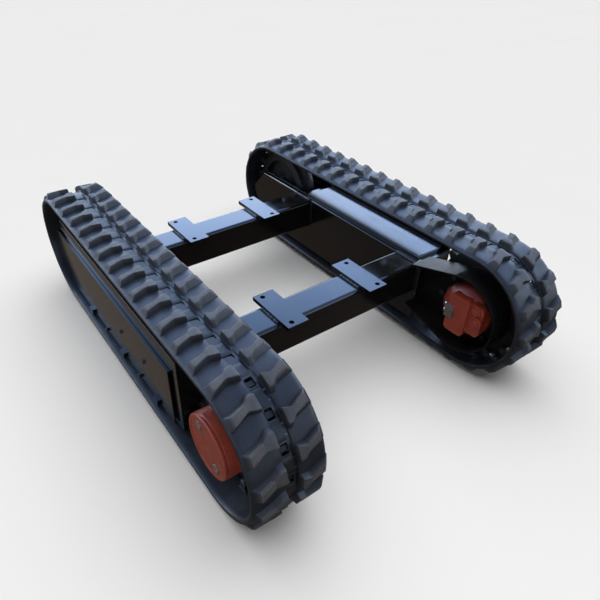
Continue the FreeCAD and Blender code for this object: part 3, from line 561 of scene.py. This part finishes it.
def weld(name, start, end, out, leg=6.5 * MM):
    """A fillet weld along a corner: stacked ripples. out holds the two directions off the corner."""
    start, end = Vector(start), Vector(end)
    first, second = (Vector(direction) for direction in out)
    run = end - start
    samples, arc = 3, 5
    last = max(2, int(run.length / RIPPLE)) * samples
    rings = []
    for step in range(last + 1):
        phase = (step % samples) / samples
        uneven = noise.noise(Vector((step * 0.21, run.length * 40, leg * 900)))
        size = leg * (1.0 + 0.16 * (1 - phase) + 0.14 * uneven) * (0.75 if step in (0, last) else 1.0)
        centre = start + run * (step / last)
        ring = [centre - (first + second) * 0.12 * leg]
        for index in range(arc + 1):
            angle = math.pi / 2 * index / arc
            bulge = 0.86 + 0.14 * math.sin(2 * angle)
            ring.append(centre + (first * math.cos(angle) + second * math.sin(angle)) * size * bulge)
        rings.append(ring)
    mesh = bmesh.new()
    add_rings(mesh, rings)
    make_piece(name, mesh, "black_paint", smooth=60)


def make_beam_welds(name):
    """Welds all round both ends of a cross beam, and along its mounting plates."""
    corner_radius, plate_width, top_leg, plate_leg = 9 * MM, 64 * MM, 6 * MM, 5 * MM
    low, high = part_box(f"cross_beam_{name}")
    y1, y2 = low.y + corner_radius, high.y - corner_radius
    z1, z2 = low.z + corner_radius, high.z - corner_radius
    for side, sign in SIDES.items():
        x = high.x if sign > 0 else low.x
        inward = (-sign, 0, 0)
        weld(f"weld_{name}_top_{side}", (x, y1, high.z), (x, y2, high.z), (inward, (0, 0, 1)), top_leg)
        weld(f"weld_{name}_rear_{side}", (x, low.y, z1), (x, low.y, z2), (inward, (0, -1, 0)))
        weld(f"weld_{name}_front_{side}", (x, high.y, z1), (x, high.y, z2), (inward, (0, 1, 0)))
        weld(f"weld_{name}_under_{side}", (x, y1, low.z), (x, y2, low.z), (inward, (0, 0, -1)))
    plates_low, plates_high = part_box(f"mounting_plates_{name}")
    for side, sign in SIDES.items():
        outer = plates_high.x if sign > 0 else plates_low.x
        for edge, x, toward in (("outer", outer, sign), ("inner", outer - sign * plate_width, -sign)):
            weld(f"weld_plate_{name}_{edge}_{side}", (x, y1, high.z), (x, y2, high.z),
                 ((toward, 0, 0), (0, 0, 1)), plate_leg)


def make_frame_welds(side):
    """Welds between the motor guard and the rear end of the frame's inner wall."""
    bottom, top, guard_top = 122 * MM, 244 * MM, 262 * MM
    end_leg, top_leg, lap = 7 * MM, 5 * MM, 2 * MM
    sign = SIDES[side]
    wall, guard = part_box(f"frame_wall_inner_{side}"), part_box(f"motor_guard_{side}")
    rear = wall[0].y
    face, near = (box[0].x if sign > 0 else box[1].x for box in (wall, guard))
    weld(f"weld_guard_end_{side}", (face, rear, bottom), (face, rear, top),
         ((-sign, 0, 0), (0, -1, 0)), end_leg)
    weld(f"weld_guard_top_{side}", (face, rear - lap, guard_top), (near, rear - lap, guard_top),
         ((0, 1, 0), (0, 0, -1)), top_leg)


# ---------------------------------------------------------------- recoil springs

SPRING_TURNS = 6
STEPS_PER_TURN = 28
WIRE = 5 * MM                               # radius of the wire
WIRE_SIDES = 12


def make_spring(side):
    """The recoil spring, which shortens between the frame and the idler's yoke."""
    low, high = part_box(f"recoil_spring_{side}")
    centre = (low + high) / 2
    radius = (high.z - low.z) / 2 - WIRE
    start, end = low.y + WIRE, high.y - WIRE
    last = SPRING_TURNS * STEPS_PER_TURN
    rings = []
    for step in range(last + 1):
        turn = 2 * math.pi * step / STEPS_PER_TURN
        outward = Vector((math.cos(turn), 0, -math.sin(turn)))
        middle = Vector((centre.x, start + (end - start) * step / last, centre.z)) + outward * radius
        rings.append([
            middle + outward * WIRE * math.cos(angle) + Vector((0, WIRE * math.sin(angle), 0))
            for angle in (2 * math.pi * index / WIRE_SIDES for index in range(WIRE_SIDES))])
    mesh = bmesh.new()
    add_rings(mesh, rings)
    piece = make_piece(f"spring_{side}", mesh, "dark_steel", body=None)
    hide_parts(f"recoil_spring_{side}")
    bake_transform(piece, CHASSIS, f"idler_carriage_{side}",
             start=(centre.x, start, centre.z), end=(centre.x, end, centre.z))


# ---------------------------------------------------------------- finish of the CAD parts

SPECIAL_PAINT = {                           # nodes with a finish of their own, not their slot's
    "motor_body": "red_casting", "deck_lid": "deck_paint", "cross_beam": "beam_paint",
    "mounting_plates": "beam_paint", "motor_guard": "guard_paint", "motor_plate": "guard_paint",
    "motor_bolts": "black_paint"}
EDGE_ROUNDING = {                           # in mm; the other nodes keep their edges
    "frame_wall_inner": 1.5, "frame_wall_outer": 1.2, "side_cover": 1.2, "frame_deck": 1.0,
    "frame_floor": 1.0, "motor_plate": 1.2, "motor_guard": 1.5, "sprocket": 1.5,
    "cover_fixings": 0.8, "motor_fittings": 0.8, "idler_yoke": 1.5, "idler": 1.5,
    "drive_hub": 1.0, "drive_cover": 1.0, "motor_body": 2.0, "track_cores": 1.0,
    "sprocket_bolts": 0.6, "motor_bolts": 0.6, "drive_plugs": 0.4}
SEAM_GAP = 0.01 * MM
SHARP_ANGLE = math.radians(38)


def dress(name, material, bevel):
    """Give a CAD node its material and, where it has hard edges, a small rounding."""
    node = NODES[name]
    node.data.materials.clear()
    node.data.materials.append(MATERIALS[material])
    if not bevel:
        return
    seams = node.modifiers.new("join_seams", "WELD")
    seams.merge_threshold = SEAM_GAP
    edge = node.modifiers.new("edge_rounding", "BEVEL")
    edge.width = bevel
    edge.segments = 2
    edge.limit_method = "ANGLE"
    edge.angle_limit = SHARP_ANGLE
    edge.harden_normals = True


def dress_cad():
    slots = {part["node"]: part["material_slot"] for part in frame["record"]["subparts"]}
    for node in NODES:
        stem = node.rsplit("_", 1)[0]
        dress(node, SPECIAL_PAINT.get(stem, slots[node]), EDGE_ROUNDING.get(stem, 0.0) * MM)


# ---------------------------------------------------------------- floor, light and camera

def make_floor():
    """A pale floor. Its mirror image is kept off the glossy paint, as dark cards do in a studio."""
    half, gap = 30.0, 0.5 * MM
    corners = [(-half, -half, 0), (half, -half, 0), (half, half, 0), (-half, half, 0)]
    mesh = bpy.data.meshes.new("floor")
    mesh.from_pydata(corners, [], [(0, 1, 2, 3)])
    floor = bpy.data.objects.new("floor", mesh)
    floor.location.z = -gap
    floor.visible_glossy = False
    bpy.context.scene.collection.objects.link(floor)
    shader = Shader("floor_white")
    shader.set("Base Color", shader.mix(shader.noise(1.5, 3), (0.86, 0.86, 0.86), (0.89, 0.89, 0.89)))
    shader.set("Roughness", 0.95)
    shader.set("Specular IOR Level", 0.0)
    mesh.materials.append(shader.material)


AIM = Vector((0, 0, 0.2))                   # the lights point at the middle of the object


def add_light(name, kind, place, power, **settings):
    """A soft neutral light that shades the surfaces; what they mirror is the sky."""
    data = bpy.data.lights.new(name, kind)
    data.energy = power
    for setting, value in settings.items():
        setattr(data, setting, value)
    light = bpy.data.objects.new(name, data)
    light.location = place
    light.rotation_euler = (AIM - Vector(place)).to_track_quat("-Z", "Y").to_euler()
    light.visible_glossy = False
    bpy.context.scene.collection.objects.link(light)


SKY = [                                     # height of the direction, colour
    (-0.05, (0.032, 0.027, 0.023)), (0.0, (0.56, 0.62, 0.70)), (0.34, (0.62, 0.77, 1.00)),
    (0.50, (0.40, 0.59, 1.00)), (0.60, (0.22, 0.36, 0.66)), (0.72, (0.12, 0.20, 0.38)),
    (1.0, (0.06, 0.10, 0.19))]
SKY_STRENGTH = 4.8
BRIGHT_SIDE = (0.58, 0.81)                  # heading of the brighter half of the sky
DIM_SIDE = 0.22                             # strength of the other half, as a share of the bright one's
BACKDROP = (0.86, 0.87, 0.88, 1)            # what the camera sees in place of the sky


def make_sky():
    """A sky that shiny surfaces mirror: bright and pale low down, deeper blue above, dark below."""
    world = bpy.data.worlds.new("sky")
    world.use_nodes = True
    tree = world.node_tree
    tree.nodes.clear()
    link = tree.links.new
    place = tree.nodes.new("ShaderNodeTexCoord")
    split = tree.nodes.new("ShaderNodeSeparateXYZ")
    scale = tree.nodes.new("ShaderNodeMapRange")
    ramp = tree.nodes.new("ShaderNodeValToRGB")
    heading = tree.nodes.new("ShaderNodeVectorMath")
    glow = tree.nodes.new("ShaderNodeMapRange")
    mirrored = tree.nodes.new("ShaderNodeBackground")
    backdrop = tree.nodes.new("ShaderNodeBackground")
    ray = tree.nodes.new("ShaderNodeLightPath")
    choose = tree.nodes.new("ShaderNodeMixShader")
    output = tree.nodes.new("ShaderNodeOutputWorld")
    link(place.outputs["Generated"], split.inputs["Vector"])
    link(split.outputs["Z"], scale.inputs["Value"])
    scale.inputs["From Min"].default_value = -1.0
    link(scale.outputs["Result"], ramp.inputs["Fac"])
    stops = ramp.color_ramp.elements
    for index, (height, colour) in enumerate(SKY):
        stop = stops[index] if index < 2 else stops.new(1.0)
        stop.position = (height + 1) / 2
        stop.color = (*colour, 1)
    link(ramp.outputs["Color"], mirrored.inputs["Color"])
    heading.operation = "DOT_PRODUCT"
    heading.inputs[1].default_value = (*BRIGHT_SIDE, 0)
    link(place.outputs["Generated"], heading.inputs[0])
    link(heading.outputs["Value"], glow.inputs["Value"])
    for name, value in (
            ("From Min", -0.5), ("From Max", 0.6),
            ("To Min", DIM_SIDE * SKY_STRENGTH), ("To Max", SKY_STRENGTH)):
        glow.inputs[name].default_value = value
    link(glow.outputs["Result"], mirrored.inputs["Strength"])
    backdrop.inputs["Color"].default_value = BACKDROP
    link(ray.outputs["Is Camera Ray"], choose.inputs["Fac"])
    link(mirrored.outputs["Background"], choose.inputs[1])
    link(backdrop.outputs["Background"], choose.inputs[2])
    link(choose.outputs["Shader"], output.inputs["Surface"])
    world.cycles_visibility.diffuse = False
    bpy.context.scene.world = world


def make_lights():
    add_light("overhead", "SUN", (0.5, 0.8, 4.0), 3.1, angle=math.radians(95))
    add_light("near_fill", "AREA", (-3.0, -3.2, 1.6), 26, shape="RECTANGLE", size=2.4, size_y=1.8)
    make_sky()


CAMERA_PLACE = Vector((-0.7883, -1.1151, 1.0932))
CAMERA_ANGLES = (-35.58, 37.71, 0.54)       # heading, downward tilt and roll, in degrees
FOCAL_LENGTH, SENSOR_WIDTH = 31.68, 36      # in mm
LENS_SHIFT = (0.0432, 0.0180)
CLIP_RANGE = (0.05, 60)


def make_camera():
    """The camera, from its place, heading, tilt, roll, focal length and lens shift."""
    azimuth, elevation, roll = (math.radians(angle) for angle in CAMERA_ANGLES)
    ahead = Vector((-math.sin(azimuth) * math.cos(elevation), math.cos(azimuth) * math.cos(elevation),
                    -math.sin(elevation)))
    right = Vector((math.cos(azimuth), math.sin(azimuth), 0))
    up = right.cross(ahead)
    turned_right = right * math.cos(roll) + up * math.sin(roll)
    turned_up = up * math.cos(roll) - right * math.sin(roll)
    data = bpy.data.cameras.new("camera")
    data.sensor_width = SENSOR_WIDTH
    data.lens = FOCAL_LENGTH
    data.shift_x, data.shift_y = LENS_SHIFT
    data.clip_start, data.clip_end = CLIP_RANGE
    camera = bpy.data.objects.new("camera", data)
    turn = Matrix((turned_right, turned_up, -ahead)).transposed()
    camera.matrix_world = Matrix.Translation(CAMERA_PLACE) @ turn.to_4x4()
    bpy.context.scene.collection.objects.link(camera)
    bpy.context.scene.camera = camera


# ---------------------------------------------------------------- everything

for side in SIDES:
    make_track(side)
    make_spring(side)
    make_frame_welds(side)
for beam in ("rear", "front"):
    make_beam_welds(beam)
dress_cad()
make_floor()
make_lights()
make_camera()
bpy.context.scene.view_settings.view_transform = "Standard"
